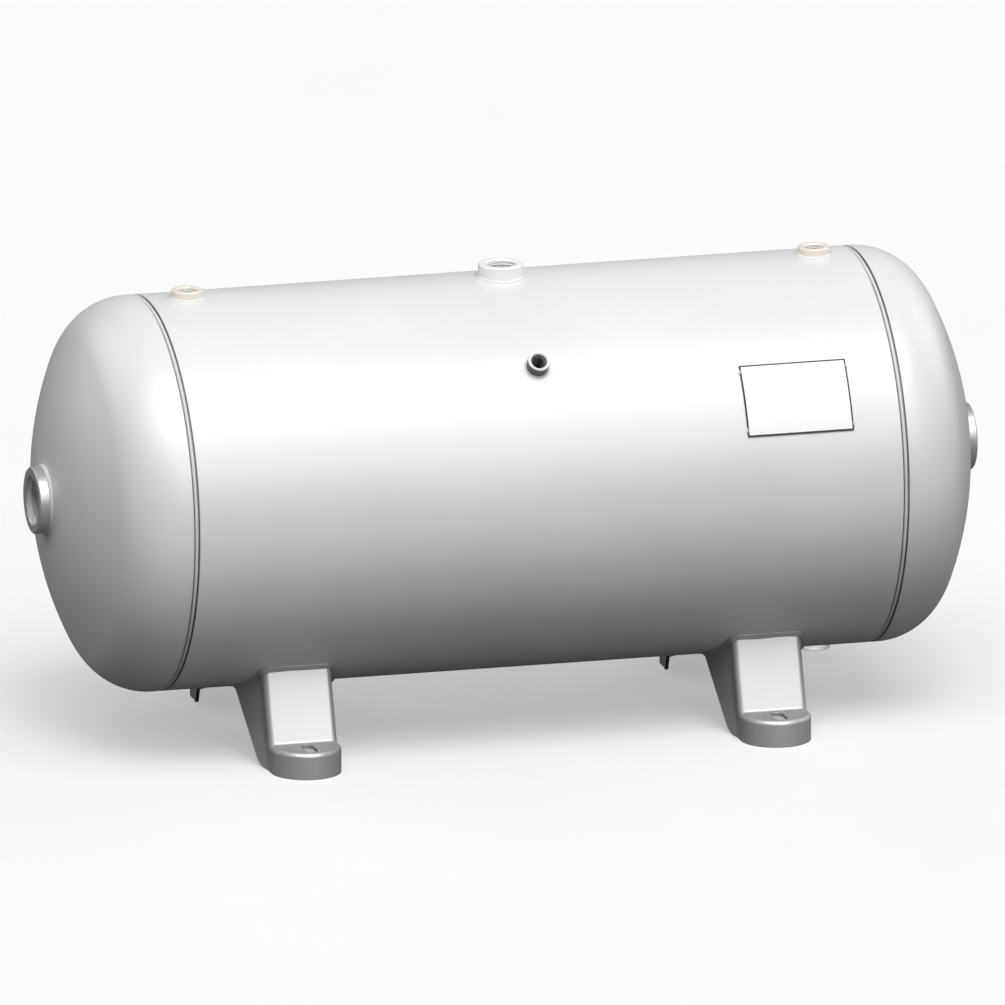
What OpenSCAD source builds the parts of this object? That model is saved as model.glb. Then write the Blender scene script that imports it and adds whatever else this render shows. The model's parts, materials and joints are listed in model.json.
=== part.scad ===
// Horizontal air receiver tank on four pressed-steel feet.
// Millimetres. X runs along the tank, -Y is the front, Z is up.
// The origin is on the floor, under the middle of the shell.

/* [Pressure vessel] */
// Outside diameter of the shell and heads
tank_od = 355.6; // [300:0.1:420]
// Length of the rolled shell plate
shell_length = 651.1; // [560:0.1:900]
// Plate thickness of the shell and heads
wall = 3.4; // [2.5:0.1:5]
// Outside crown radius of a head
crown_radius = 318; // [300:1:360]
// Outside knuckle radius of a head
knuckle_radius = 60.5; // [40:0.5:75]
// Height of the shell's underside above the floor
floor_clearance = 52; // [48:1:58]

/* [Girth joints] */
// Width of the weld groove between the shell and a head
groove_width = 5.6; // [4:0.1:8]
// Straight flange of a head outside the groove
head_flange = 4.2; // [2:0.1:10]
// Length of the stepped-in head lip inside the shell
lip_length = 18; // [12:1:30]
// Depth of the weld's edges below the shell surface
weld_recess = 1.5; // [0.5:0.1:2.5]

/* [End ports, 1-1/4 in pipe thread] */
// Outside diameter of an end coupling
end_od = 60.3; // [56:0.1:66]
// Bore of an end coupling
end_bore = 42.2; // [38:0.1:44]
// Projection of an end coupling beyond the head's apex
end_projection = 9.8; // [6:0.1:16]
// Length of an end coupling
end_length = 33; // [28:1:45]

/* [Top centre port, 3/4 in pipe thread] */
// Outside diameter of the top centre coupling
center_od = 40.3; // [36:0.1:44]
// Bore of the top centre coupling
center_bore = 26.7; // [24:0.1:28]
// Projection of the top centre coupling above the shell
center_projection = 11.9; // [8:0.1:16]
// Length of the top centre coupling
center_length = 26; // [22:1:34]

/* [Small ports, 3/8 in pipe thread] */
// Outside diameter of a small coupling
small_od = 28.8; // [26:0.1:32]
// Bore of a small coupling
small_bore = 17.1; // [15:0.1:19]
// Projection of a small coupling beyond the shell
small_projection = 7.7; // [6:0.1:12]
// Length of a top small coupling
small_length = 20; // [17:1:26]
// Distance of a small coupling from the middle of the shell
small_offset = 290; // [240:1:300]

/* [Side port, 1/4 in pipe thread] */
// Outside diameter of the side coupling
side_od = 20; // [19:0.1:24]
// Bore of the side coupling
side_bore = 13.7; // [12:0.1:14.5]
// Projection of the side coupling beyond the shell
side_projection = 11; // [8:0.1:15]
// Length of the side coupling
side_length = 20; // [18:1:26]
// Angle of the side coupling from the top towards the front
side_angle = 45; // [30:1:48]

/* [Data plate] */
// Width of the data plate along the tank
plate_width = 98; // [60:1:110]
// Height of the data plate around the shell
plate_height = 66.3; // [40:0.1:80]
// Thickness of the data plate
plate_thickness = 1; // [0.8:0.1:2]
// Distance of the plate's middle from the middle of the shell
plate_offset = 233; // [190:1:240]
// Angle of the plate's middle from the top towards the front
plate_angle = 60; // [58:1:70]

/* [Feet] */
// Distance of a foot's middle from the middle of the shell
foot_offset = 217.35; // [180:0.05:225]
// Width of a foot's front face and toe
foot_width = 63.4; // [56:0.1:70]
// Sheet thickness of a foot
foot_sheet = 3.4; // [2.5:0.1:4]
// Outside bend radius between the front face and the flanges
foot_bend = 5.5; // [4.5:0.1:8]
// Lean of the front face from the vertical
foot_lean = 19.8; // [15:0.1:24]
// Height of the bolting pad above the floor
pad_height = 24.2; // [20:0.1:28]
// Distance from the tank's centre plane to the foot of the front face
face_foot = 131.8; // [126:0.1:136]
// Distance from the tank's centre plane to the toe's centre
toe_center = 138.6; // [136:0.1:142]
// Radius of the toe's upper rim
toe_rim = 4; // [3.6:0.1:6]
// Depth of the straight strip beside the front face
strip_depth = 14; // [10:0.5:20]
// Flare of a flange away from that strip
flange_flare = 17; // [8:0.5:20]
// Lean of a flange's rear edge from the vertical
flange_edge_lean = 41; // [35:0.5:45]
// Where that rear edge would meet the floor
flange_edge_foot = 112.1; // [108:0.1:116]
// Radius between the flange's rear edge and its floor edge
flange_edge_radius = 24; // [12:1:28]
// Width of the mounting slot
slot_width = 11.5; // [9:0.1:14]
// Overall length of the mounting slot
slot_length = 26.6; // [16:0.1:28]
// Distance from the tank's centre plane to the slot's middle
slot_center = 151; // [148:0.1:152]

/* [Welds] */
// Leg length of the fillet welds on the couplings
coupling_fillet = 3; // [2:0.1:4]
// Leg length of the fillet welds on the feet
foot_fillet = 5; // [3:0.1:6]
// Root gap of the shell's long seam
seam_gap = 2.4; // [1.5:0.1:4]
// Width of the long seam's cap
seam_width = 8; // [6:0.1:12]
// Height of the long seam's cap above the shell
seam_crown = 1.2; // [0.8:0.1:2]
// Angle of the long seam from the top towards the rear
seam_angle = 135; // [120:1:150]

/* [Hidden] */
$fn = 96;

paint = [0.93, 0.93, 0.92];
silver = [0.72, 0.72, 0.72];
beige = [0.85, 0.78, 0.72];
slate = [0.25, 0.26, 0.31];

tank_r = tank_od / 2;
inner_r = tank_r - wall;
axis_h = tank_r + floor_clearance;
shell_end = shell_length / 2;
shoulder = shell_end + groove_width;
tangent = shoulder + head_flange;
// Distance from a head's tangent line to the centre of its crown sphere
crown_drop = sqrt(pow(crown_radius - knuckle_radius, 2) - pow(tank_r - knuckle_radius, 2));
apex = tangent + crown_radius - crown_drop;
// Angle of the crown's edge from the tank axis
crown_edge = atan2(tank_r - knuckle_radius, crown_drop);

lip_clearance = 0.1;
lip_taper = 6;
bore_chamfer = 1.4;
rim_chamfer = 0.9;
// How far a cutter runs past the part it cuts
over = 5;

// Drain coupling: its inner end is flush with the shell's inside
drain_length = small_projection + wall;

foot_half = foot_width / 2;
slit_width = 1;
slit_height = 10;
pad_fillet = 3;
// Gap between the pad fillet's ends and the bends
pad_fillet_gap = 0.5;
flare_radius = 25;
// Flats in each arc of a foot's outlines
arc_steps = 8;
// Extent of a foot's blanks past the finished outline
foot_reach = 90;
foot_rise = 190;

tack_length = 6;
tack_radius = 1.6;
// Rise of the plate's underside above the shell
plate_lift = 0.3;

// Turns a child's Z axis onto the tank's X axis, at the tank's height
module on_axis() {
    translate([0, 0, axis_h]) rotate([0, 90, 0]) children();
}

// Stands a child on the tank axis at x, pointing out at an angle from the top
// towards the front
module radial(x, angle) {
    translate([x, 0, axis_h]) rotate([angle, 0, 0]) children();
}

// Carries a child built for the right end to the left end
module left_end() {
    mirror([1, 0, 0]) children();
}

// Cylinder of radius r around the tank axis, past both ends of the shell
// unless a length is given
module tank_core(r, length = shell_length + 2 * over) {
    on_axis() cylinder(r = r, h = length, center = true, $fn = 720);
}

module shell_tube() {
    difference() {
        tank_core(tank_r, shell_length);
        tank_core(inner_r);
    }
}

// ---- Shell ----

module seam_gap_blank() {
    radial(0, -seam_angle)
        translate([0, 0, inner_r + wall / 2])
            cube([shell_length + 2 * over, seam_gap, 4 * wall], center = true);
}

module port_hole(x, angle, od) {
    radial(x, angle) cylinder(d = od, h = tank_od);
}

module shell() {
    color(paint)
        difference() {
            shell_tube();
            seam_gap_blank();
            port_hole(0, 0, center_od);
            port_hole(-small_offset, 0, small_od);
            port_hole(small_offset, 0, small_od);
            port_hole(0, side_angle, side_od);
            port_hole(small_offset, 180, small_od);
        }
}

module long_seam_weld() {
    color(paint) {
        intersection() {
            shell_tube();
            seam_gap_blank();
        }
        intersection() {
            difference() {
                tank_core(tank_r + seam_crown, shell_length);
                tank_core(tank_r);
            }
            radial(0, -seam_angle)
                translate([0, 0, tank_r])
                    cube([shell_length, seam_width, 4 * wall], center = true);
        }
    }
}

// ---- Heads ----

// Half section of a dish grown inwards by inset, above the tangent line:
// X is the radius and Y runs along the tank
module dish_section(inset) {
    crown = crown_radius - inset;
    reach = 2 * crown_radius;
    intersection() {
        translate([0, tangent]) square([tank_od, crown_radius]);
        union() {
            translate([tank_r - knuckle_radius, tangent])
                circle(r = knuckle_radius - inset, $fn = 180);
            intersection() {
                translate([0, tangent - crown_drop]) circle(r = crown, $fn = 360);
                translate([0, tangent - crown_drop])
                    polygon([[0, 0], [reach * sin(crown_edge), reach * cos(crown_edge)], [0, reach]]);
            }
        }
    }
}

// A step of the half section: radius r between two places along the tank
module step_section(r, from, to) {
    translate([0, from]) square([r, to - from]);
}

module head() {
    lip_r = inner_r - lip_clearance;
    lip_start = shell_end - lip_length;
    on_axis() rotate_extrude($fn = 180)
        difference() {
            union() {
                dish_section(0);
                step_section(tank_r, shoulder, tangent);
                step_section(lip_r, lip_start, shoulder);
            }
            dish_section(wall);
            step_section(inner_r, shoulder + lip_taper / 2, tangent);
            step_section(lip_r - wall, lip_start - over, shoulder + lip_taper / 2);
            polygon([
                [0, shoulder - lip_taper / 2], [lip_r - wall, shoulder - lip_taper / 2],
                [inner_r, shoulder + lip_taper / 2], [0, shoulder + lip_taper / 2]
            ]);
            step_section(end_od / 2, lip_start - over, apex + over);
        }
}

module right_head() {
    color(paint) head();
}

module left_head() {
    color(paint) left_end() head();
}

// The bead fills the bottom of the groove and crowns between two toes
module girth_weld() {
    root_r = inner_r - lip_clearance;
    toe_gap = 0.8;
    half = groove_width / 2 - toe_gap;
    toe_r = tank_r - weld_recess;
    rise = weld_recess - 0.2;
    crown = (half * half + rise * rise) / (2 * rise);
    middle = shell_end + groove_width / 2;
    on_axis() rotate_extrude($fn = 180) {
        translate([root_r, shell_end]) square([toe_r - root_r - 0.8, groove_width]);
        translate([root_r, middle - half]) square([toe_r - root_r, 2 * half]);
        intersection() {
            translate([toe_r + rise - crown, middle]) circle(r = crown);
            translate([root_r, middle - half]) square([wall, 2 * half]);
        }
    }
}

module right_girth_weld() {
    color(paint) girth_weld();
}

module left_girth_weld() {
    color(paint) left_end() girth_weld();
}

// ---- Couplings ----

// Threaded coupling standing on the Z axis, with its outer face at height top.
// The bore's wall is at the thread's major diameter.
module coupling(od, bore, top, length) {
    bottom = top - length;
    rotate_extrude()
        polygon([
            [bore / 2, bottom],
            [od / 2, bottom],
            [od / 2, top - rim_chamfer],
            [od / 2 - rim_chamfer, top],
            [bore / 2 + bore_chamfer, top],
            [bore / 2, top - bore_chamfer]
        ]);
}

// Half section of a triangular bead around a coupling, which rises from the
// height base to base + coupling_fillet
module bead_section(od, base) {
    polygon([
        [od / 2, base - 2 * coupling_fillet],
        [od / 2 + coupling_fillet, base - 2 * coupling_fillet],
        [od / 2 + coupling_fillet, base],
        [od / 2, base + coupling_fillet]
    ]);
}

module shell_coupling(x, angle, od, bore, projection, length) {
    radial(x, angle) coupling(od, bore, tank_r + projection, length);
}

module shell_coupling_weld(x, angle, od) {
    difference() {
        radial(x, angle) rotate_extrude($fn = 240) bead_section(od, tank_r);
        tank_core(tank_r);
    }
}

module end_coupling() {
    on_axis() coupling(end_od, end_bore, apex + end_projection, end_length);
}

module end_coupling_weld() {
    crown_rise = crown_radius - sqrt(pow(crown_radius, 2) - pow(end_od / 2, 2));
    on_axis() rotate_extrude()
        difference() {
            bead_section(end_od, apex - crown_rise);
            translate([0, tangent - crown_drop]) circle(r = crown_radius, $fn = 1440);
        }
}

module right_end_coupling() {
    color(silver) end_coupling();
}

module left_end_coupling() {
    color(silver) left_end() end_coupling();
}

module right_end_coupling_weld() {
    color(paint) end_coupling_weld();
}

module left_end_coupling_weld() {
    color(paint) left_end() end_coupling_weld();
}

module top_center_coupling() {
    color(paint)
        shell_coupling(0, 0, center_od, center_bore, center_projection, center_length);
}

module top_left_coupling() {
    color(beige)
        shell_coupling(-small_offset, 0, small_od, small_bore, small_projection, small_length);
}

module top_right_coupling() {
    color(beige)
        shell_coupling(small_offset, 0, small_od, small_bore, small_projection, small_length);
}

module side_coupling() {
    color(slate)
        shell_coupling(0, side_angle, side_od, side_bore, side_projection, side_length);
}

module drain_coupling() {
    color(beige)
        shell_coupling(small_offset, 180, small_od, small_bore, small_projection, drain_length);
}

module top_center_coupling_weld() {
    color(paint) shell_coupling_weld(0, 0, center_od);
}

module top_left_coupling_weld() {
    color(paint) shell_coupling_weld(-small_offset, 0, small_od);
}

module top_right_coupling_weld() {
    color(paint) shell_coupling_weld(small_offset, 0, small_od);
}

module side_coupling_weld() {
    color(paint) shell_coupling_weld(0, side_angle, side_od);
}

module drain_coupling_weld() {
    color(paint) shell_coupling_weld(small_offset, 180, small_od);
}

// ---- Data plate ----

// Wedge from the tank axis that spans angle on each side of the plate's middle
module plate_wedge(angle) {
    reach = tank_od;
    rise = reach * tan(angle);
    radial(plate_offset, plate_angle)
        rotate([90, 0, 90])
            linear_extrude(height = plate_width, center = true)
                polygon([[0, 0], [rise, reach], [-rise, reach]]);
}

module data_plate() {
    inside = tank_r + plate_lift;
    half_angle = plate_height / 2 / inside * 180 / PI;
    color(paint)
        intersection() {
            difference() {
                tank_core(inside + plate_thickness);
                tank_core(inside);
            }
            plate_wedge(half_angle);
        }
}

// Short bead along each vertical edge of the plate, near its corners
module data_plate_tack_welds() {
    inside = tank_r + plate_lift;
    edge = plate_width / 2;
    corner = plate_height / 2 - tack_length;
    color(paint)
        difference() {
            for (side = [-1, 1], end = [-1, 1])
                radial(plate_offset + side * edge, plate_angle + end * corner / inside * 180 / PI)
                    translate([0, 0, tank_r])
                        rotate([90, 0, 0])
                            cylinder(r = tack_radius, h = tack_length, center = true, $fn = 180);
            tank_core(tank_r);
            data_plate();
        }
}

// ---- Feet ----
// A foot is built for the rear, so Y points outwards from under the tank.

// Straight bar of a child's section, up along the lean of the front face.
// In the section X is across the foot and the front face is at Y = 0.
module lean_sweep() {
    translate([0, face_foot, pad_height])
        rotate([foot_lean, 0, 0])
            translate([0, 0, -foot_reach])
                linear_extrude(height = foot_rise + foot_reach)
                    children();
}

// Points of an arc about a centre, between two angles
function arc(center, r, from, to) = [
    for (i = [0 : arc_steps])
        let (angle = from + (to - from) * i / arc_steps)
            [center[0] + r * cos(angle), center[1] + r * sin(angle)]
];

// The same points on the other side of X = 0, in reverse order
function mirrored(points) = [
    for (i = [len(points) - 1 : -1 : 0]) [-points[i][0], points[i][1]]
];

// One side of the pressed channel's outline, grown inwards by inset: the bend
// into the side strip, then the blend into the flared flange
function channel_side(inset) =
    let (
        half = foot_half - inset,
        bend = foot_bend - inset,
        flare_y = -strip_depth - inset * tan(flange_flare / 2),
        flare_r = flare_radius + inset,
        flare_t = flare_r * tan(flange_flare / 2),
        spread = (foot_reach + flare_y) * tan(flange_flare)
    )
    concat(
        arc([half - bend, -inset - bend], bend, 90, 0),
        arc([half + flare_r, flare_y + flare_t], flare_r, 180, 180 + flange_flare),
        [[half + spread, -foot_reach]]
    );

module channel_section(inset) {
    side = channel_side(inset);
    polygon(concat(side, mirrored(side)));
}

// Half section of the toe's drum, grown inwards by inset
module toe_section(inset) {
    r = foot_half - inset;
    top = pad_height - inset;
    rim = toe_rim - inset;
    square([r - rim, top]);
    square([r, top - rim]);
    translate([r - rim, top - rim]) circle(r = rim);
}

// Half-round toe and the straight skirt behind it, back to Y = back
module toe(inset, back) {
    intersection() {
        translate([0, toe_center, 0]) rotate_extrude() toe_section(inset);
        translate([-foot_width, toe_center, 0]) cube([2 * foot_width, foot_width, foot_width]);
    }
    for (side = [0, 1])
        translate([0, toe_center, 0])
            mirror([side, 0, 0])
                rotate([90, 0, 0])
                    linear_extrude(height = toe_center - back)
                        toe_section(inset);
}

// Concave blend between the front face and the pad
module face_blend() {
    t = pad_fillet / tan((90 + foot_lean) / 2);
    width = foot_width - 2 * (foot_bend + pad_fillet_gap);
    translate([0, face_foot, pad_height])
        rotate([90, 0, 90])
            linear_extrude(height = width, center = true)
                difference() {
                    polygon([[-1, -1], [t, -1], [t, 0], [-t * sin(foot_lean), t * cos(foot_lean)]]);
                    translate([t, pad_fillet]) circle(r = pad_fillet);
                }
}

// Side outline of a foot: floor edge, rounded corner and leaning rear edge
module foot_outline() {
    rise = foot_rise;
    far = 2 * toe_center;
    r = flange_edge_radius;
    // Distance from the corner to where the rounding starts
    t = r * tan((90 - flange_edge_lean) / 2);
    rotate([90, 0, 90])
        linear_extrude(height = 3 * foot_width, center = true)
            polygon(concat(
                arc([flange_edge_foot + t, r], r, 180 + flange_edge_lean, 270),
                [[far, 0], [far, rise], [flange_edge_foot - rise * tan(flange_edge_lean), rise]]
            ));
}

module slot() {
    run = (slot_length - slot_width) / 2;
    translate([0, slot_center, pad_height]) {
        for (end = [-1, 1])
            translate([0, end * run, 0]) cylinder(d = slot_width, h = 3 * foot_sheet, center = true);
        cube([slot_width, 2 * run, 3 * foot_sheet], center = true);
    }
}

module foot() {
    color(silver)
        intersection() {
            foot_outline();
            difference() {
                union() {
                    lean_sweep() channel_section(0);
                    toe(0, flange_edge_foot + over);
                    face_blend();
                }
                lean_sweep() channel_section(foot_sheet);
                toe(foot_sheet, flange_edge_foot - foot_half);
                slot();
                translate([0, toe_center, 0])
                    cube([2 * foot_width, slit_width, 2 * slit_height], center = true);
                tank_core(tank_r);
            }
        }
}

// Bead along the joint between a foot's outside and the shell
module foot_weld() {
    color(silver)
        intersection() {
            foot_outline();
            tank_core(tank_r + foot_fillet);
            difference() {
                lean_sweep() channel_section(-foot_fillet);
                lean_sweep() channel_section(0);
                tank_core(tank_r);
            }
        }
}

// Carries a child built for the rear to one of the four corners
module corner(x_side, y_side) {
    translate([x_side * foot_offset, 0, 0])
        rotate([0, 0, y_side > 0 ? 0 : 180])
            children();
}

module front_left_foot() {
    corner(-1, -1) foot();
}

module front_right_foot() {
    corner(1, -1) foot();
}

module rear_left_foot() {
    corner(-1, 1) foot();
}

module rear_right_foot() {
    corner(1, 1) foot();
}

module front_left_foot_weld() {
    corner(-1, -1) foot_weld();
}

module front_right_foot_weld() {
    corner(1, -1) foot_weld();
}

module rear_left_foot_weld() {
    corner(-1, 1) foot_weld();
}

module rear_right_foot_weld() {
    corner(1, 1) foot_weld();
}

shell();
left_head();
right_head();
left_girth_weld();
right_girth_weld();
long_seam_weld();
left_end_coupling();
right_end_coupling();
top_center_coupling();
top_left_coupling();
top_right_coupling();
side_coupling();
drain_coupling();
left_end_coupling_weld();
right_end_coupling_weld();
top_center_coupling_weld();
top_left_coupling_weld();
top_right_coupling_weld();
side_coupling_weld();
drain_coupling_weld();
data_plate();
data_plate_tack_welds();
front_left_foot();
front_right_foot();
rear_left_foot();
rear_right_foot();
front_left_foot_weld();
front_right_foot_weld();
rear_left_foot_weld();
rear_right_foot_weld();
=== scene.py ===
import json
import math
import random

import bmesh
import bpy
from mathutils import Matrix, Vector


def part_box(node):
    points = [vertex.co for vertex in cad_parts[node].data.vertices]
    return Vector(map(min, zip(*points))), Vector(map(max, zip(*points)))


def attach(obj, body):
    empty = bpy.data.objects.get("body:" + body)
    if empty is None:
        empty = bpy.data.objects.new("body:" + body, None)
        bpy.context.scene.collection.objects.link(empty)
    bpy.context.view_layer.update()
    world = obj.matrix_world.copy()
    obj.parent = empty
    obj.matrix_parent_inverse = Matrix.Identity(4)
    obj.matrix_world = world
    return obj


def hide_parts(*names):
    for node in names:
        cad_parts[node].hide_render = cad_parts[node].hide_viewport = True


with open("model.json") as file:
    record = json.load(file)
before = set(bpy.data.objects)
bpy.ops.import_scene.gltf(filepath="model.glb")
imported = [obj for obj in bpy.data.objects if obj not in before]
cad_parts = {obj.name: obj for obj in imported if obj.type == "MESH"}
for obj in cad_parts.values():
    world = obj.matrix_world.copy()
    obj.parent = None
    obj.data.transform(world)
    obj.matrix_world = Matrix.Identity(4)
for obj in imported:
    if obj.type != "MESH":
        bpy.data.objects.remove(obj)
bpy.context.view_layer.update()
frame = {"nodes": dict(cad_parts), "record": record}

MM = 0.001
INCH = 0.0254

# ---- Places taken from the frame ----

shell_low, shell_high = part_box("shell")
TANK_R = (shell_high.z - shell_low.z) / 2
AXIS_Z = (shell_high.z + shell_low.z) / 2
SHELL_END = shell_high.x
TANK_MIDDLE = Vector((0, 0, AXIS_Z))

# ---- Driving dimensions that the frame's boxes don't give ----

# The sheet of the shell and heads, and the radius of a head's crown
SHEET = 3.4 * MM
CROWN_R = 318 * MM
# The data plate's outside, and the width of the line printed round it
PLATE_R = TANK_R + 1.3 * MM
BORDER = 1.4 * MM
# How far a bead's hidden root lies under the surfaces that it joins
ROOT = 0.5 * MM
# How far a bead's edge dips under the surface, so that the two meet cleanly
TUCK = 0.12 * MM
# Sections of a bead to each of its ripples, and points over the crown of each section
SECTIONS = 8
CROWN_POINTS = 9
# The fillet round a coupling, as a share of the coupling's radius, and its largest size
COUPLING_LEG_SHARE = 0.14
COUPLING_LEG = 2.2 * MM
FOOT_LEG = 3.6 * MM
# The girth beads: the gap on either side, how deep their edges lie and how far they rise
GIRTH_CREVICE = 1.3 * MM
GIRTH_SINK = 1.7 * MM
GIRTH_CROWN = 1.35 * MM
# The long seam's angle from the top towards the rear, and its bead
SEAM_ANGLE = math.radians(135)
SEAM_WIDTH = 8 * MM
SEAM_CROWN = 1.2 * MM
# The data plate's tacks: their length, how far in from its corners, half width and rise
TACK_LENGTH = 6 * MM
TACK_INSET = 6 * MM
TACK_HALF = 1.6 * MM
TACK_CROWN = 1.75 * MM

# A foot is described as the rear one: Y points outwards from under the tank.
# The front strip is this wide to either side, leans in as it climbs and starts this far out.
FOOT_HALF = 31.7 * MM
FOOT_BEND = 5.5 * MM
FOOT_LEAN = math.radians(19.8)
FOOT_FACE = 131.8 * MM
# The flanges run straight back for a depth, then flare apart. The reach goes past their cut edge
STRIP_DEPTH = 14 * MM
FLARE = math.radians(17)
FLARE_R = 25 * MM
FLANGE_REACH = 90 * MM
# Where the line of that cut edge meets the floor, and its lean from the upright
FLANGE_EDGE = 112.1 * MM
FLANGE_LEAN = math.radians(41)

# Largest major radius that each number of threads per inch serves, and that number
PIPE_THREADS = ((10 * MM, 18), (17 * MM, 14), (30 * MM, 11.5))

# ---- Colours, linear, and the enamel's refractive index ----

WHITE = (0.77, 0.77, 0.765)
WELD_WHITE = (0.75, 0.75, 0.74)
PORT_WHITE = (0.90, 0.90, 0.89)
PLATE_WHITE = (0.87, 0.87, 0.87)
BEIGE = (0.86, 0.765, 0.68)
SLATE = (0.036, 0.041, 0.060)
STEEL = (0.85, 0.84, 0.82)
DARK_STEEL = (0.13, 0.13, 0.16)
FACED_STEEL = (0.90, 0.90, 0.89)
FOOT_SILVER = (0.66, 0.66, 0.66)
PORT_SILVER = (0.62, 0.62, 0.61)
INK = (0.02, 0.02, 0.022)
INSIDE = (0.30, 0.27, 0.24)
RUST = (0.26, 0.13, 0.07)
# The colour of the painted shade in crevices
CREVICE_SHADE = (0.035, 0.034, 0.032)
# The colour of the painted shade on level upper faces
LEVEL_SHADE = (0.22, 0.22, 0.217)
PRIMER = (0.52, 0.51, 0.50)
FLOOR = (0.87, 0.87, 0.87)
FLOOR_BOUNCE = (0.11, 0.11, 0.11)
ENAMEL_IOR = 1.8


# ---- Node trees ----

class Nodes:
    """Short calls for building one material's node tree."""

    def __init__(self, name):
        self.material = bpy.data.materials.new(name)
        self.material.use_nodes = True
        self.tree = self.material.node_tree
        self.tree.nodes.clear()

    def join(self, value, socket):
        if isinstance(value, bpy.types.NodeSocket):
            self.tree.links.new(value, socket)
        else:
            socket.default_value = value

    def add(self, kind, settings=None, **inputs):
        made = self.tree.nodes.new(kind)
        for key, value in (settings or {}).items():
            setattr(made, key, value)
        for key, value in inputs.items():
            self.join(value, made.inputs[key.replace("_", " ")])
        return made

    def math(self, operation, a, b=0.0):
        made = self.add("ShaderNodeMath", {"operation": operation})
        self.join(a, made.inputs[0])
        self.join(b, made.inputs[1])
        return made.outputs[0]

    def mix(self, factor, a, b):
        made = self.add("ShaderNodeMix", {"data_type": "RGBA"})
        self.join(factor, made.inputs[0])
        self.join(a, made.inputs[6])
        self.join(b, made.inputs[7])
        return made.outputs[2]

    def spread(self, value, low, high, to_low=0.0, to_high=1.0):
        """The value's range from low to high stretched to another one, and clamped there."""
        made = self.add("ShaderNodeMapRange", {"clamp": True})
        for socket, given in zip(made.inputs, (value, low, high, to_low, to_high)):
            self.join(given, socket)
        return made.outputs[0]

    def noise(self, coordinates, scale, detail=2.0, roughness=0.5):
        made = self.add(
            "ShaderNodeTexNoise", Vector=coordinates, Scale=scale, Detail=detail, Roughness=roughness
        )
        return made.outputs[0]

    def bump(self, height, distance, normal):
        made = self.add("ShaderNodeBump", Height=height, Distance=distance, Normal=normal)
        return made.outputs[0]

    def output(self, shader):
        self.add("ShaderNodeOutputMaterial", Surface=shader.outputs[0])
        return self.material


def rgba(colour):
    return (*colour, 1.0)


def scaled(colour, share):
    return rgba(tuple(channel * share for channel in colour))


def object_coordinates(nodes, reference=None):
    made = nodes.add("ShaderNodeTexCoord", {"object": reference})
    return made.outputs["Object"]


def face_normal(nodes):
    return nodes.add("ShaderNodeNewGeometry").outputs["Normal"]


def rounded_normal(nodes, radius):
    return nodes.add("ShaderNodeBevel", {"samples": 6}, Radius=radius).outputs[0]


def edge_mask(nodes, normal):
    """1 along outside edges and 0 on open faces."""
    dot = nodes.add("ShaderNodeVectorMath", {"operation": "DOT_PRODUCT"})
    nodes.join(normal, dot.inputs[0])
    nodes.join(face_normal(nodes), dot.inputs[1])
    return nodes.spread(dot.outputs["Value"], 0.995, 0.86)


def crevice_mask(nodes, distance):
    """How much painted shade a crevice gets: 1 deep in it and 0 in the open."""
    made = nodes.add("ShaderNodeAmbientOcclusion", {"samples": 6}, Distance=distance)
    return nodes.spread(made.outputs["AO"], 0.62, 0.12)


def level_face_shade(nodes, patches):
    """Where painted shade darkens level upper faces: 1 on them and 0 on the rest, a little uneven."""
    split = nodes.add("ShaderNodeSeparateXYZ", Vector=face_normal(nodes))
    level = nodes.spread(split.outputs["Z"], 0.88, 0.98)
    return nodes.math("MULTIPLY", level, nodes.spread(patches, 0.25, 0.6, 0.75, 1.0))


def turning_marks(nodes, reference):
    """Height of the rings that a lathe leaves about the reference object's Z axis."""
    split = nodes.add("ShaderNodeSeparateXYZ", Vector=object_coordinates(nodes, reference))
    x, y, z = split.outputs
    square = nodes.math("ADD", nodes.math("MULTIPLY", x, x), nodes.math("MULTIPLY", y, y))
    along = nodes.math("ADD", nodes.math("SQRT", square), z)
    made = nodes.add("ShaderNodeTexNoise", {"noise_dimensions": "1D"}, W=along, Scale=2600.0, Detail=2.0)
    return made.outputs[0]


# ---- Materials ----

def enamel_tone(nodes, colour, place, cloud, thin):
    """Cloudy colour with fine specks and the primer showing where the paint is thin."""
    speck = nodes.spread(nodes.noise(place, 260.0, 3.0, 0.7), 0.70, 0.80)
    tone = nodes.mix(nodes.spread(cloud, 0.3, 0.7), scaled(colour, 0.965), scaled(colour, 1.02))
    tone = nodes.mix(nodes.math("MULTIPLY", speck, 0.10), tone, scaled(colour, 0.55))
    primer = scaled(PRIMER, colour[0] / WHITE[0])
    return nodes.mix(nodes.math("MULTIPLY", thin, 0.5), tone, primer)


def enamel_normal(nodes, place, rounded, lathe):
    """Slow waves, fine orange peel and, on a turned piece, the lathe's rings."""
    normal = nodes.bump(nodes.noise(place, 11.0, 1.0), 0.35 * MM, rounded)
    normal = nodes.bump(nodes.noise(place, 620.0, 2.0), 0.018 * MM, normal)
    if lathe is not None:
        normal = nodes.bump(turning_marks(nodes, lathe), 0.020 * MM, normal)
    return normal


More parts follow.
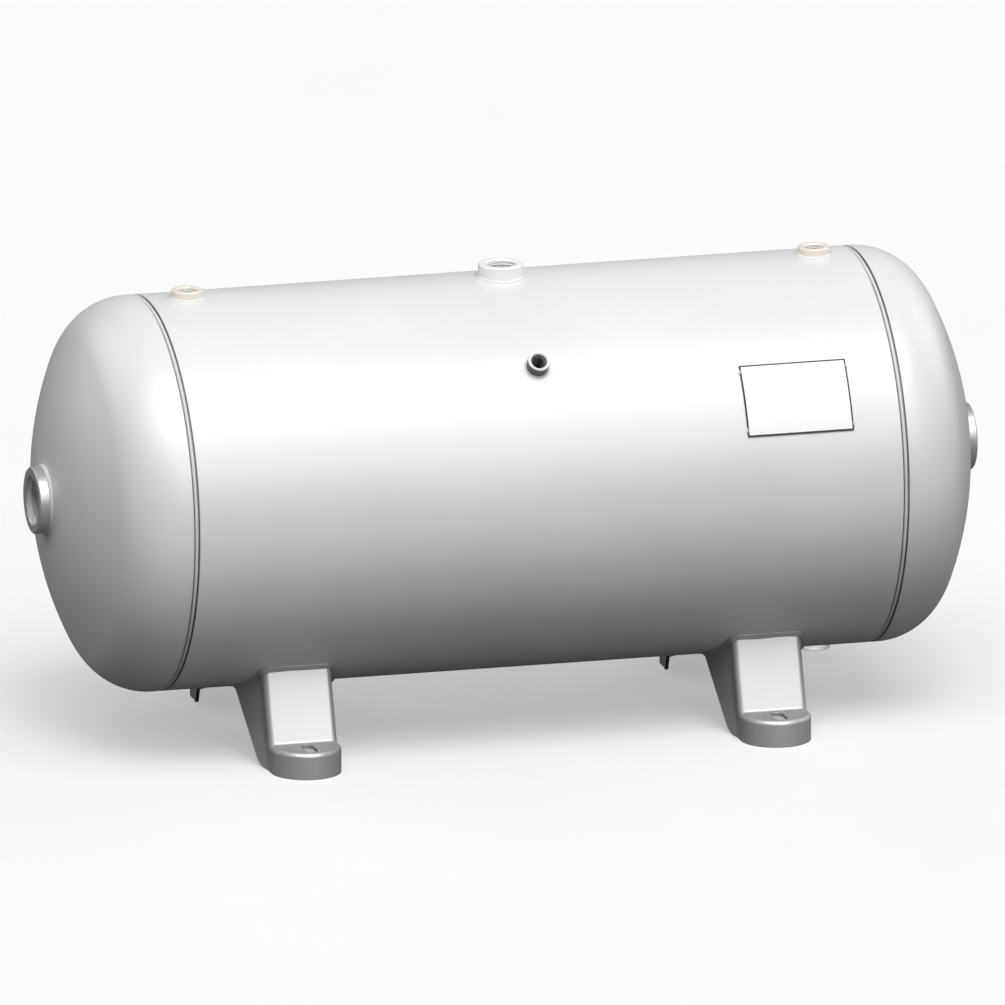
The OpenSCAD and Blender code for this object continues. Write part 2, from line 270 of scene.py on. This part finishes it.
def enamel(
    name, colour, roughness=0.40, metallic=0.0, edge=0.7 * MM, lathe=None, border=None, shade_level_faces=False
):
    """Sprayed enamel: thin over the edges, with painted shade darkening its crevices.

    The border adds a printed line, and the level-face option darkens its level faces with a dull film of
    painted shade.
    """
    nodes = Nodes(name)
    place = object_coordinates(nodes)
    rounded = rounded_normal(nodes, edge)
    cloud = nodes.noise(place, 7.0, 4.0, 0.6)
    scuff = nodes.noise(place, 90.0, 6.0, 0.75)
    thin = nodes.math("MULTIPLY", edge_mask(nodes, rounded), nodes.spread(scuff, 0.42, 0.62))
    tone = enamel_tone(nodes, colour, place, cloud, thin)
    gloss = nodes.spread(cloud, 0.2, 0.8, roughness - 0.05, roughness + 0.06)
    gloss = nodes.math("ADD", gloss, nodes.math("MULTIPLY", thin, 0.15))
    if border is not None:
        line = border(nodes, place)
        tone = nodes.mix(line, tone, rgba(INK))
        gloss = nodes.math("ADD", gloss, nodes.math("MULTIPLY", line, 0.5))
    if shade_level_faces:
        # Painted shade: a dark dull film over the level upper faces
        level_shade = level_face_shade(nodes, scuff)
        tone = nodes.mix(level_shade, tone, rgba(LEVEL_SHADE))
        gloss = nodes.math("ADD", gloss, nodes.math("MULTIPLY", level_shade, 0.4))
        metallic = nodes.spread(level_shade, 0.0, 1.0, metallic, 0.0)
    # Painted shade: darkening mixed in where the crevices are deep
    crevice_shade = nodes.math("MULTIPLY", crevice_mask(nodes, 4 * MM), 0.9)
    shader = nodes.add(
        "ShaderNodeBsdfPrincipled",
        Base_Color=nodes.mix(crevice_shade, tone, rgba(CREVICE_SHADE)),
        Roughness=gloss,
        Metallic=metallic,
        Normal=enamel_normal(nodes, place, rounded, lathe),
        IOR=ENAMEL_IOR,
    )
    return nodes.output(shader)


def plate_border(nodes, place):
    """1 on the dark line printed round the edge of the data plate, and 0 inside it."""
    low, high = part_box("data_plate")
    top, bottom = plate_angles()
    split = nodes.add("ShaderNodeSeparateXYZ", Vector=place)
    x, y, z = split.outputs
    angle = nodes.math("ARCTAN2", nodes.math("MULTIPLY", y, -1.0), nodes.math("SUBTRACT", z, AXIS_Z))
    across = nodes.math("ABSOLUTE", nodes.math("SUBTRACT", x, (low.x + high.x) / 2))
    along = nodes.math("ABSOLUTE", nodes.math("SUBTRACT", angle, (top + bottom) / 2))
    at_ends = nodes.math("GREATER_THAN", across, (high.x - low.x) / 2 - BORDER)
    at_sides = nodes.math("GREATER_THAN", along, (bottom - top) / 2 - BORDER / PLATE_R)
    return nodes.math("MAXIMUM", at_ends, at_sides)


def weld_enamel(name, colour, metallic=0.0):
    """The same enamel over weld metal: spatter grains, with painted shade darkening the toes."""
    nodes = Nodes(name)
    place = object_coordinates(nodes)
    grain = nodes.noise(place, 1400.0, 3.0, 0.6)
    cloud = nodes.noise(place, 30.0, 4.0, 0.6)
    paint = nodes.mix(nodes.spread(cloud, 0.3, 0.7), scaled(colour, 0.93), rgba(colour))
    # Painted shade darkens the bead's toes
    paint = nodes.mix(nodes.math("MULTIPLY", crevice_mask(nodes, 1.6 * MM), 0.7), paint, rgba(CREVICE_SHADE))
    normal = nodes.bump(grain, 0.06 * MM, face_normal(nodes))
    shader = nodes.add(
        "ShaderNodeBsdfPrincipled", Base_Color=paint, Roughness=0.46, Metallic=metallic, Normal=normal
    )
    return nodes.output(shader)


def machined_steel(name, colour, lathe):
    """Turned or threaded steel with ring marks and a thin film of oil staining."""
    nodes = Nodes(name)
    place = object_coordinates(nodes, lathe)
    stain = nodes.noise(place, 160.0, 5.0, 0.7)
    tone = nodes.mix(nodes.spread(stain, 0.35, 0.75), rgba(colour), scaled(colour, 0.74))
    # Painted shade darkens the tight crevices of the thread
    tone = nodes.mix(nodes.math("MULTIPLY", crevice_mask(nodes, 2.5 * MM), 0.2), tone, rgba(CREVICE_SHADE))
    gloss = nodes.spread(stain, 0.3, 0.8, 0.34, 0.54)
    rounded = rounded_normal(nodes, 0.2 * MM)
    normal = nodes.bump(turning_marks(nodes, lathe), 0.03 * MM, rounded)
    shader = nodes.add(
        "ShaderNodeBsdfPrincipled", Base_Color=tone, Metallic=0.2, Roughness=gloss, Normal=normal
    )
    return nodes.output(shader)


def bare_inside():
    """Mill-finish steel inside the vessel, with a bloom of flash rust."""
    nodes = Nodes("bare_inside")
    place = object_coordinates(nodes)
    bloom = nodes.spread(nodes.noise(place, 28.0, 8.0, 0.7), 0.45, 0.7)
    tone = nodes.mix(bloom, rgba(INSIDE), rgba(RUST))
    normal = nodes.bump(nodes.noise(place, 300.0, 4.0), 0.1 * MM, face_normal(nodes))
    shader = nodes.add(
        "ShaderNodeBsdfPrincipled",
        Base_Color=tone,
        Metallic=nodes.spread(bloom, 0.0, 1.0, 0.5, 0.0),
        Roughness=nodes.spread(bloom, 0.0, 1.0, 0.5, 0.85),
        Normal=normal,
    )
    return nodes.output(shader)


def pale_floor():
    """A pale floor with light shadows, that throws back little light on to the underside."""
    nodes = Nodes("pale_floor")
    seen = nodes.add("ShaderNodeLightPath").outputs["Is Camera Ray"]
    mottle = nodes.spread(nodes.noise(object_coordinates(nodes), 3.0, 3.0), 0.3, 0.7)
    tone = nodes.mix(mottle, scaled(FLOOR, 0.97), rgba(FLOOR))
    tone = nodes.mix(seen, rgba(FLOOR_BOUNCE), tone)
    lit = nodes.add("ShaderNodeBsdfDiffuse", Color=tone)
    even = nodes.add("ShaderNodeEmission", Color=rgba((HORIZON,) * 3))
    mixed = nodes.add("ShaderNodeMixShader")
    nodes.join(nodes.math("MULTIPLY", seen, FLOOR_GLOW), mixed.inputs[0])
    nodes.join(lit.outputs[0], mixed.inputs[1])
    nodes.join(even.outputs[0], mixed.inputs[2])
    return nodes.output(mixed)


# ---- Meshes ----

def ring_faces(count, size, closed):
    """Quads between successive rings of points, with flat ends when the path is open."""
    faces = []
    steps = count if closed else count - 1
    for i in range(steps):
        here, there = i * size, (i + 1) % count * size
        for k in range(size):
            after = (k + 1) % size
            faces.append((here + k, here + after, there + after, there + k))
    if not closed:
        faces.append(tuple(range(size)))
        faces.append(tuple((count - 1) * size + k for k in reversed(range(size))))
    return faces


def swept_piece(name, rings, closed, material, place=Matrix.Identity(4)):
    """A closed solid through rings of points, riding on the vessel."""
    size = len(rings[0])
    mesh = bpy.data.meshes.new(name)
    points = [point for ring in rings for point in ring]
    mesh.from_pydata(points, [], ring_faces(len(rings), size, closed))
    shape = bmesh.new()
    shape.from_mesh(mesh)
    bmesh.ops.recalc_face_normals(shape, faces=shape.faces)
    shape.to_mesh(mesh)
    shape.free()
    mesh.shade_smooth()
    if material is not None:
        mesh.materials.append(material)
    piece = bpy.data.objects.new(name, mesh)
    bpy.context.scene.collection.objects.link(piece)
    piece.matrix_world = place
    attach(piece, "root")
    return piece


# ---- Weld beads ----

class Bead:
    """The ripples and unevenness of one weld, the same on every run."""

    def __init__(self, name, pitch, ripple):
        dice = random.Random(name)
        self.name = name
        self.pitch = pitch
        self.ripple = ripple
        self.waves = [(dice.uniform(0.004, 0.03), dice.uniform(0, math.tau)) for _ in range(4)]

    def wobble(self, distance):
        """Slow change of the bead's size along it, about 1."""
        waves = sum(math.sin(distance / length + phase) for length, phase in self.waves)
        return 1 + 0.035 * waves

    def ring(self, start, end, rise, roots, distance, size=1.0):
        """One section, from one edge over the crown to the other, then back through the roots."""
        crown = size * self.wobble(distance)
        points = []
        for k in range(CROWN_POINTS):
            across = k / (CROWN_POINTS - 1)
            arch = math.sin(math.pi * across) ** 0.75
            scallop = abs(math.sin(math.pi * (distance / self.pitch - 0.9 * arch)))
            height = arch * crown * (1 - self.ripple * (1 - scallop))
            points.append(start.lerp(end, across) + rise * height)
        return points + roots


def even_steps(length, pitch, closed):
    """Distances along a path that holds a whole number of ripples."""
    count = max(2, round(length / pitch)) * SECTIONS
    last = count if closed else count + 1
    return [length * i / count for i in range(last)]


def end_taper(distance, length, run):
    """Rounds a bead off over the run at either end."""
    near = min(distance, length - distance) / run
    if near >= 1:
        return 1.0
    return math.sqrt(max(0.02, 1 - (1 - near) ** 2))


# ---- Ports ----

class Port:
    """A threaded coupling: its axis, its radii and the tank surface round it."""

    def __init__(self, mount):
        self.name = mount["name"].replace("_port", "")
        self.axis = Vector(mount["axis"]).normalized()
        self.middle = Vector(mount["pos_m"])
        self.bore_r = mount["dims"]["r_mm"] * MM
        self.thread = mount["dims"]["length_mm"] * MM
        self.node = self.name + "_coupling"
        self.on_head = abs(self.axis.x) > 0.5
        low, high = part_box(self.node)
        size = high - low
        self.outer_r = (size.y if self.on_head else size.x) / 2
        self.across = Vector((0, 1, 0)) if self.on_head else Vector((1, 0, 0))
        self.up = self.axis.cross(self.across)
        self.origin = self.crown_centre() if self.on_head else Vector((self.middle.x, 0, AXIS_Z))

    def crown_centre(self):
        low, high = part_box(self.name.replace("_end", "_head"))
        edge = high.x if self.axis.x > 0 else -low.x
        reach = edge - math.sqrt(CROWN_R**2 - self.outer_r**2)
        return TANK_MIDDLE + self.axis * reach

    def surface(self, radius, angle):
        """The point of the tank's outside at a radius and an angle about the port's axis."""
        x, y = radius * math.cos(angle), radius * math.sin(angle)
        if self.on_head:
            height = math.sqrt(CROWN_R**2 - radius**2)
        else:
            height = math.sqrt(TANK_R**2 - y**2)
        return self.origin + self.across * x + self.up * y + self.axis * height

    def place(self):
        """Matrix with its origin mid-thread and Z out of the mouth."""
        turn = Matrix((self.across, self.up, self.axis)).transposed().to_4x4()
        return Matrix.Translation(self.middle) @ turn


def coupling_bead(port, material):
    """The fillet between a coupling and the tank."""
    bead = Bead(port.node + "_bead", 1.5 * MM, 0.16)
    size = min(COUPLING_LEG, port.outer_r * COUPLING_LEG_SHARE)
    length = math.tau * (port.outer_r + size / 2)
    rings = []
    for distance in even_steps(length, bead.pitch, True):
        angle = distance / length * math.tau
        leg = size * bead.wobble(distance * 1.7)
        wall = port.surface(port.outer_r - TUCK, angle) + port.axis * leg
        toe = port.surface(port.outer_r + leg, angle) - port.axis * TUCK
        root = port.surface(port.outer_r - ROOT, angle) - port.axis * ROOT
        rise = ((wall + toe) / 2 - root).normalized() * 0.22 * leg
        rings.append(bead.ring(wall, toe, rise, [root], distance))
    piece = swept_piece(bead.name, rings, True, material)
    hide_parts(port.node + "_weld")


def thread_pitch(radius):
    for limit, count in PIPE_THREADS:
        if radius <= limit:
            return INCH / count
    return INCH / PIPE_THREADS[-1][1]


def port_thread(port):
    """The ridge of the pipe thread, from the major diameter inwards, fading out at both ends."""
    pitch = thread_pitch(port.bore_r)
    depth = 0.8 * pitch
    crest = 0.06 * pitch
    steps = 60
    turns = (port.thread - 1.2 * pitch) / pitch
    count = int(turns * steps)
    rings = []
    for i in range(count + 1):
        turn = i / steps
        angle = turn * math.tau
        z = port.thread / 2 - 0.6 * pitch - turn * pitch
        fade = min(1.0, turn / 0.7, (turns - turn + 0.02) / 0.7)
        inner = port.bore_r - depth * max(fade, 0.03)
        outer = port.bore_r + 0.1 * MM
        half = (0.47 * pitch - crest) * max(fade, 0.03) + crest
        direction = Vector((math.cos(angle), math.sin(angle), 0))
        rings.append([
            direction * outer + Vector((0, 0, z - half)),
            direction * inner + Vector((0, 0, z - crest)),
            direction * inner + Vector((0, 0, z + crest)),
            direction * outer + Vector((0, 0, z + half)),
        ])
    piece = swept_piece(port.name + "_thread", rings, False, None, port.place())
    piece.data.shade_flat()
    return piece


# ---- Girth welds, long seam and tacks ----

def around(x, radius, angle):
    """A point about the tank's axis, at an angle from the top towards the front."""
    return Vector((x, -radius * math.sin(angle), AXIS_Z + radius * math.cos(angle)))


def outward(angle):
    """The direction away from the tank's axis at an angle."""
    return around(0, 1, angle) - TANK_MIDDLE


def girth_bead(side, material):
    """The bead in a head's groove, with a narrow crevice on either side of it."""
    low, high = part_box(side + "_girth_weld")
    ends = (low.x + GIRTH_CREVICE, high.x - GIRTH_CREVICE)
    edge_r = TANK_R - GIRTH_SINK
    root_r = TANK_R - SHEET - ROOT
    bead = Bead(side + "_girth_bead", 2.4 * MM, 0.14)
    length = math.tau * TANK_R
    rings = []
    for distance in even_steps(length, bead.pitch, True):
        angle = distance / TANK_R
        start, end = (around(x, edge_r, angle) for x in ends)
        roots = [around(x, root_r, angle) for x in reversed(ends)]
        rise = outward(angle) * GIRTH_CROWN
        rings.append(bead.ring(start, end, rise, roots, distance))
    piece = swept_piece(bead.name, rings, True, material)
    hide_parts(side + "_girth_weld")


def seam_bead(material):
    """The cap along the rolled sheet's joint, at the rear."""
    bead = Bead("long_seam_bead", 2.2 * MM, 0.16)
    margin = 0.3 * MM
    length = 2 * (SHELL_END - margin)
    half = SEAM_WIDTH / 2 / TANK_R
    rings = []
    for distance in even_steps(length, bead.pitch, False):
        x = distance - length / 2
        start, end = (around(x, TANK_R - TUCK, -SEAM_ANGLE + side * half) for side in (-1, 1))
        roots = [around(x, TANK_R - 2 * ROOT, -SEAM_ANGLE + side * half) for side in (1, -1)]
        rise = outward(-SEAM_ANGLE) * SEAM_CROWN
        size = end_taper(distance, length, 4 * MM)
        rings.append(bead.ring(start, end, rise, roots, distance, size))
    piece = swept_piece(bead.name, rings, False, material)
    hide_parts("long_seam_weld")


def plate_angles():
    """Angles from the top towards the front of the data plate's two long edges."""
    low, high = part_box("data_plate")
    return math.acos((high.z - AXIS_Z) / PLATE_R), math.asin(-low.y / PLATE_R)


def tack_rings(bead, x, angle):
    """The sections of a short bead that runs round the shell over the plate's end."""
    rings = []
    for distance in even_steps(TACK_LENGTH, bead.pitch, False):
        here = angle + (distance - TACK_LENGTH / 2) / TANK_R
        size = end_taper(distance, TACK_LENGTH, 2 * MM)
        ends = (x - TACK_HALF * size, x + TACK_HALF * size)
        start, end = (around(edge, TANK_R - TUCK, here) for edge in ends)
        roots = [around(edge, TANK_R - ROOT, here) for edge in reversed(ends)]
        rings.append(bead.ring(start, end, outward(here) * TACK_CROWN, roots, distance, size))
    return rings


def tack_beads(material):
    """A tack over each corner of the data plate's ends."""
    low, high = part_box("data_plate")
    top, bottom = plate_angles()
    inset = TACK_INSET / TANK_R
    bead = Bead("data_plate_tack_bead", 1.6 * MM, 0.18)
    places = [(x, angle) for x in (low.x, high.x) for angle in (top + inset, bottom - inset)]
    pieces = [
        swept_piece(f"{bead.name}_{i + 1}", tack_rings(bead, *at), False, material)
        for i, at in enumerate(places)
    ]
    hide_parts("data_plate_tack_welds")


# ---- Foot welds ----

def arc_points(centre, radius, start, end, count):
    return [
        Vector((
            centre[0] + radius * math.cos(start + (end - start) * i / count),
            centre[1] + radius * math.sin(start + (end - start) * i / count),
        ))
        for i in range(count + 1)
    ]


def foot_outline():
    """The outside of a foot's pressed channel in the plane across its lean: X across, Y outwards."""
    flare_t = FLARE_R * math.tan(FLARE / 2)
    bend = arc_points((FOOT_HALF - FOOT_BEND, -FOOT_BEND), FOOT_BEND, math.pi / 2, 0, 24)
    blend = arc_points(
        (FOOT_HALF + FLARE_R, -STRIP_DEPTH + flare_t), FLARE_R, math.pi, math.pi + FLARE, 12
    )
    spread = (FLANGE_REACH - STRIP_DEPTH) * math.tan(FLARE)
    side = bend + blend + [Vector((FOOT_HALF + spread, -FLANGE_REACH))]
    other = [Vector((-point.x, point.y)) for point in reversed(side)]
    return other + side


def walk(points, step):
    """Points every step along a line of straight runs, each with its left-hand normal."""
    made = []
    for start, end in zip(points, points[1:]):
        run = end - start
        if run.length < 1e-9:
            continue
        normal = Vector((-run.y, run.x)).normalized()
        count = max(1, int(run.length / step))
        made += [(start.lerp(end, i / count), normal) for i in range(count)]
    return made


def smooth_normals(stations, reach):
    """Evens out the normals over neighbouring stations."""
    made = []
    for i in range(len(stations)):
        near = stations[max(0, i - reach): i + reach + 1]
        total = sum((normal for _, normal in near), Vector((0, 0)))
        made.append((stations[i][0], total.normalized()))
    return made


def pad_height():
    mounts = {mount["name"]: mount for mount in frame["record"]["mounts"]}
    return mounts["left_feet_bolts"]["pos_m"][2]


def foot_on_shell(point, normal):
    """Where a line up the foot's outside meets the shell, with the directions out and up.

    None when the line passes the shell by.
    """
    sine, cosine = math.sin(FOOT_LEAN), math.cos(FOOT_LEAN)
    start = Vector((point.x, FOOT_FACE + point.y * cosine, pad_height() + point.y * sine))
    climb = Vector((0, -sine, cosine))
    offset = start - TANK_MIDDLE
    offset.x = 0
    along = offset.dot(climb)
    square = along**2 - offset.length_squared + TANK_R**2
    if square < 0:
        return None
    out = Vector((normal.x, normal.y * cosine, normal.y * sine))
    return start - climb * (along + math.sqrt(square)), out, climb


def on_shell(point):
    """The nearest point of the shell's outside."""
    flat = Vector((0, point.y, point.z - AXIS_Z))
    out = flat.normalized() * (TANK_R - TUCK)
    return Vector((point.x, out.y, out.z + AXIS_Z))


def foot_path():
    """Stations along the joint, from one flange's edge round the front face to the other's."""
    stations = smooth_normals(walk(foot_outline(), 0.1 * MM), 6)
    met = filter(None, (foot_on_shell(point, normal) for point, normal in stations))
    slope = math.tan(FLANGE_LEAN)
    return [station for station in met if station[0].y > FLANGE_EDGE - station[0].z * slope]


def spaced(path, step):
    """Stations about one step apart along the path, with the distance to each."""
    kept = [(0.0, path[0])]
    distance = 0.0
    for before, here in zip(path, path[1:]):
        distance += (here[0] - before[0]).length
        if distance - kept[-1][0] >= step:
            kept.append((distance, here))
    return kept


def foot_bead(node, path, material):
    """The fillet between a foot and the shell, turned to the foot's own side of the tank."""
    low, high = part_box(node)
    middle_x = (low.x + high.x) / 2
    side = 1 if high.y > 0 else -1
    bead = Bead(node + "_bead", 2.0 * MM, 0.16)
    stations = spaced(path, bead.pitch / SECTIONS)
    length = stations[-1][0]
    rings = []
    for distance, (place, out, climb) in stations:
        size = end_taper(distance, length, 3 * MM)
        leg = FOOT_LEG * size * bead.wobble(distance * 1.6)
        wall = place - climb * leg - out * TUCK
        toe = on_shell(place + out * leg)
        root = place - out * ROOT + climb * ROOT
        rise = ((wall + toe) / 2 - root).normalized() * 0.2 * leg
        ring = bead.ring(wall, toe, rise, [root], distance)
        rings.append([Vector((middle_x + p.x, side * p.y, p.z)) for p in ring])
    piece = swept_piece(bead.name, rings, False, material)
    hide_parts(node + "_weld")


# ---- Finishes of the CAD nodes ----

def paint_node(name, *materials):
    mesh = frame["nodes"][name].data
    mesh.materials.clear()
    for material in materials:
        mesh.materials.append(material)
    return mesh


def paint_vessel(outside, inside):
    """Enamel outside, bare steel on the faces that look in at the vessel's middle."""
    within = TANK_R - 0.8 * SHEET
    for name in ("shell", "left_head", "right_head"):
        mesh = paint_node(name, outside, inside)
        for face in mesh.polygons:
            out = face.center - TANK_MIDDLE
            from_axis = math.hypot(out.y, out.z)
            if name == "shell":
                out.x = 0
            looks_in = face.normal.dot(out) < -0.2 * out.length
            face.material_index = int(looks_in and from_axis < within)


def finish_coupling(port, paint, cut, faced):
    """Paint outside, cut steel down the bore and, where there is one, a bright faced end."""
    mesh = paint_node(port.node, paint, cut, faced or paint)
    for face in mesh.polygons:
        out = face.center - port.middle
        along = out.dot(port.axis)
        radius = (out - port.axis * along).length
        if radius < port.bore_r + 0.2 * MM:
            face.material_index = 1
        elif along > 0 and face.normal.dot(port.axis) > 0.3:
            face.material_index = 2
        else:
            face.material_index = 0


# ---- Studio ----

CAMERA_AZIMUTH = math.radians(-15.065)
CAMERA_ELEVATION = math.radians(14.886)
FRAME_WIDTH = 0.89835
# How far the picture's middle lies right of and above the tank's middle
FRAME_SHIFT = (1.83 * MM, -30.74 * MM)

# Name, azimuth, elevation, strength and spread of each soft light
SUNS = (
    ("key", 12, 58, 1.85, 40),
    ("key_left", -30, 58, 1.20, 40),
    ("front", 12, 26, 0.45, 24),
    ("side_left", -75, 45, 0.16, 40),
    ("back_left", -135, 25, 0.50, 40),
    ("back_right", 108, 30, 0.60, 40),
)
AMBIENT = 0.08
HORIZON = 0.93
# The part of the floor's look that takes no shadow
FLOOR_GLOW = 0.45
FLOOR_HALF = 12.0
# How far off the camera and the lamps stand
STAND_OFF = 3.0


def direction(azimuth, elevation):
    """From the tank towards a viewer or a lamp; azimuth 0 is in front and 90 to the right."""
    return Vector((
        math.sin(azimuth) * math.cos(elevation),
        -math.cos(azimuth) * math.cos(elevation),
        math.sin(elevation),
    ))


def add_camera():
    back = direction(CAMERA_AZIMUTH, CAMERA_ELEVATION)
    right = Vector((math.cos(CAMERA_AZIMUTH), math.sin(CAMERA_AZIMUTH), 0))
    up = back.cross(right)
    centre = TANK_MIDDLE + right * FRAME_SHIFT[0] + up * FRAME_SHIFT[1]
    data = bpy.data.cameras.new("camera")
    data.type = "ORTHO"
    data.ortho_scale = FRAME_WIDTH
    camera = bpy.data.objects.new("camera", data)
    turn = Matrix((right, up, back)).transposed().to_4x4()
    camera.matrix_world = Matrix.Translation(centre + back * STAND_OFF) @ turn
    bpy.context.scene.collection.objects.link(camera)
    bpy.context.scene.camera = camera


def add_sun(name, azimuth, elevation, strength, spread):
    """A soft light from far off, with its angles in degrees."""
    back = direction(math.radians(azimuth), math.radians(elevation))
    data = bpy.data.lights.new(name, "SUN")
    data.angle = math.radians(spread)
    data.energy = strength
    light = bpy.data.objects.new(name, data)
    light.location = TANK_MIDDLE + back * STAND_OFF
    light.rotation_mode = "QUATERNION"
    light.rotation_quaternion = (-back).to_track_quat("-Z", "Y")
    bpy.context.scene.collection.objects.link(light)
    return light


def light_drain():
    """Light for the drain coupling alone, which hangs in the tank's own shade."""
    only = bpy.data.collections.new("drain_light_reach")
    only.objects.link(frame["nodes"]["drain_coupling"])
    light = add_sun("drain_light", -15, 8, 2.4, 30)
    light.light_linking.receiver_collection = only
    light.light_linking.blocker_collection = only


def add_world():
    """Weak even light for the object, behind a horizon as pale as the floor."""
    world = bpy.data.worlds.new("studio")
    world.use_nodes = True
    tree = world.node_tree
    background = tree.nodes["Background"]
    background.inputs["Color"].default_value = (1, 1, 1, 1)
    seen = tree.nodes.new("ShaderNodeLightPath").outputs["Is Camera Ray"]
    strength = tree.nodes.new("ShaderNodeMapRange")
    tree.links.new(seen, strength.inputs["Value"])
    strength.inputs["To Min"].default_value = AMBIENT
    strength.inputs["To Max"].default_value = HORIZON
    tree.links.new(strength.outputs[0], background.inputs["Strength"])
    bpy.context.scene.world = world


def add_studio():
    for sun in SUNS:
        add_sun(*sun)
    light_drain()
    add_world()
    bpy.context.scene.view_settings.view_transform = "Standard"


def add_floor():
    mesh = bpy.data.meshes.new("floor")
    half = FLOOR_HALF
    corners = [(-half, -half, 0), (half, -half, 0), (half, half, 0), (-half, half, 0)]
    mesh.from_pydata(corners, [], [(0, 1, 2, 3)])
    mesh.materials.append(pale_floor())
    floor = bpy.data.objects.new("floor", mesh)
    bpy.context.scene.collection.objects.link(floor)


# ---- The model ----

def port_finish(port, thread):
    """The paint outside a coupling and the metal of its bore and faced end."""
    if port.on_head:
        return enamel(port.name + "_silver", PORT_SILVER, metallic=0.6, edge=0.5 * MM, lathe=thread), None
    if port.name == "side":
        paint = enamel("side_slate", SLATE, roughness=0.5, edge=0.3 * MM, lathe=thread)
        return paint, machined_steel("side_faced_steel", FACED_STEEL, thread)
    colour = PORT_WHITE if port.name == "top_center" else BEIGE
    return enamel(port.name + "_paint", colour, edge=0.5 * MM, lathe=thread), None


def build_ports(weld):
    for mount in frame["record"]["mounts"]:
        if mount["kind"] != "threaded_hole":
            continue
        port = Port(mount)
        thread = port_thread(port)
        cut = machined_steel(port.name + "_steel", DARK_STEEL if port.name == "side" else STEEL, thread)
        thread.data.materials.append(cut)
        paint, faced = port_finish(port, thread)
        finish_coupling(port, paint, cut, faced)
        coupling_bead(port, weld)


def build():
    white = enamel("tank_enamel", WHITE)
    silver = enamel("foot_silver", FOOT_SILVER, roughness=0.45, metallic=0.65, shade_level_faces=True)
    weld = weld_enamel("weld_enamel", WELD_WHITE)
    foot_weld = weld_enamel("foot_weld_silver", FOOT_SILVER, metallic=0.6)
    paint_vessel(white, bare_inside())
    plate = enamel("plate_enamel", PLATE_WHITE, roughness=0.34, edge=0.25 * MM, border=plate_border)
    paint_node("data_plate", plate)
    build_ports(weld)
    for side in ("left", "right"):
        girth_bead(side, weld)
    seam_bead(weld)
    tack_beads(weld)
    path = foot_path()
    for end in ("front", "rear"):
        for side in ("left", "right"):
            node = f"{end}_{side}_foot"
            paint_node(node, silver)
            foot_bead(node, path, foot_weld)


build()
add_floor()
add_studio()
add_camera()
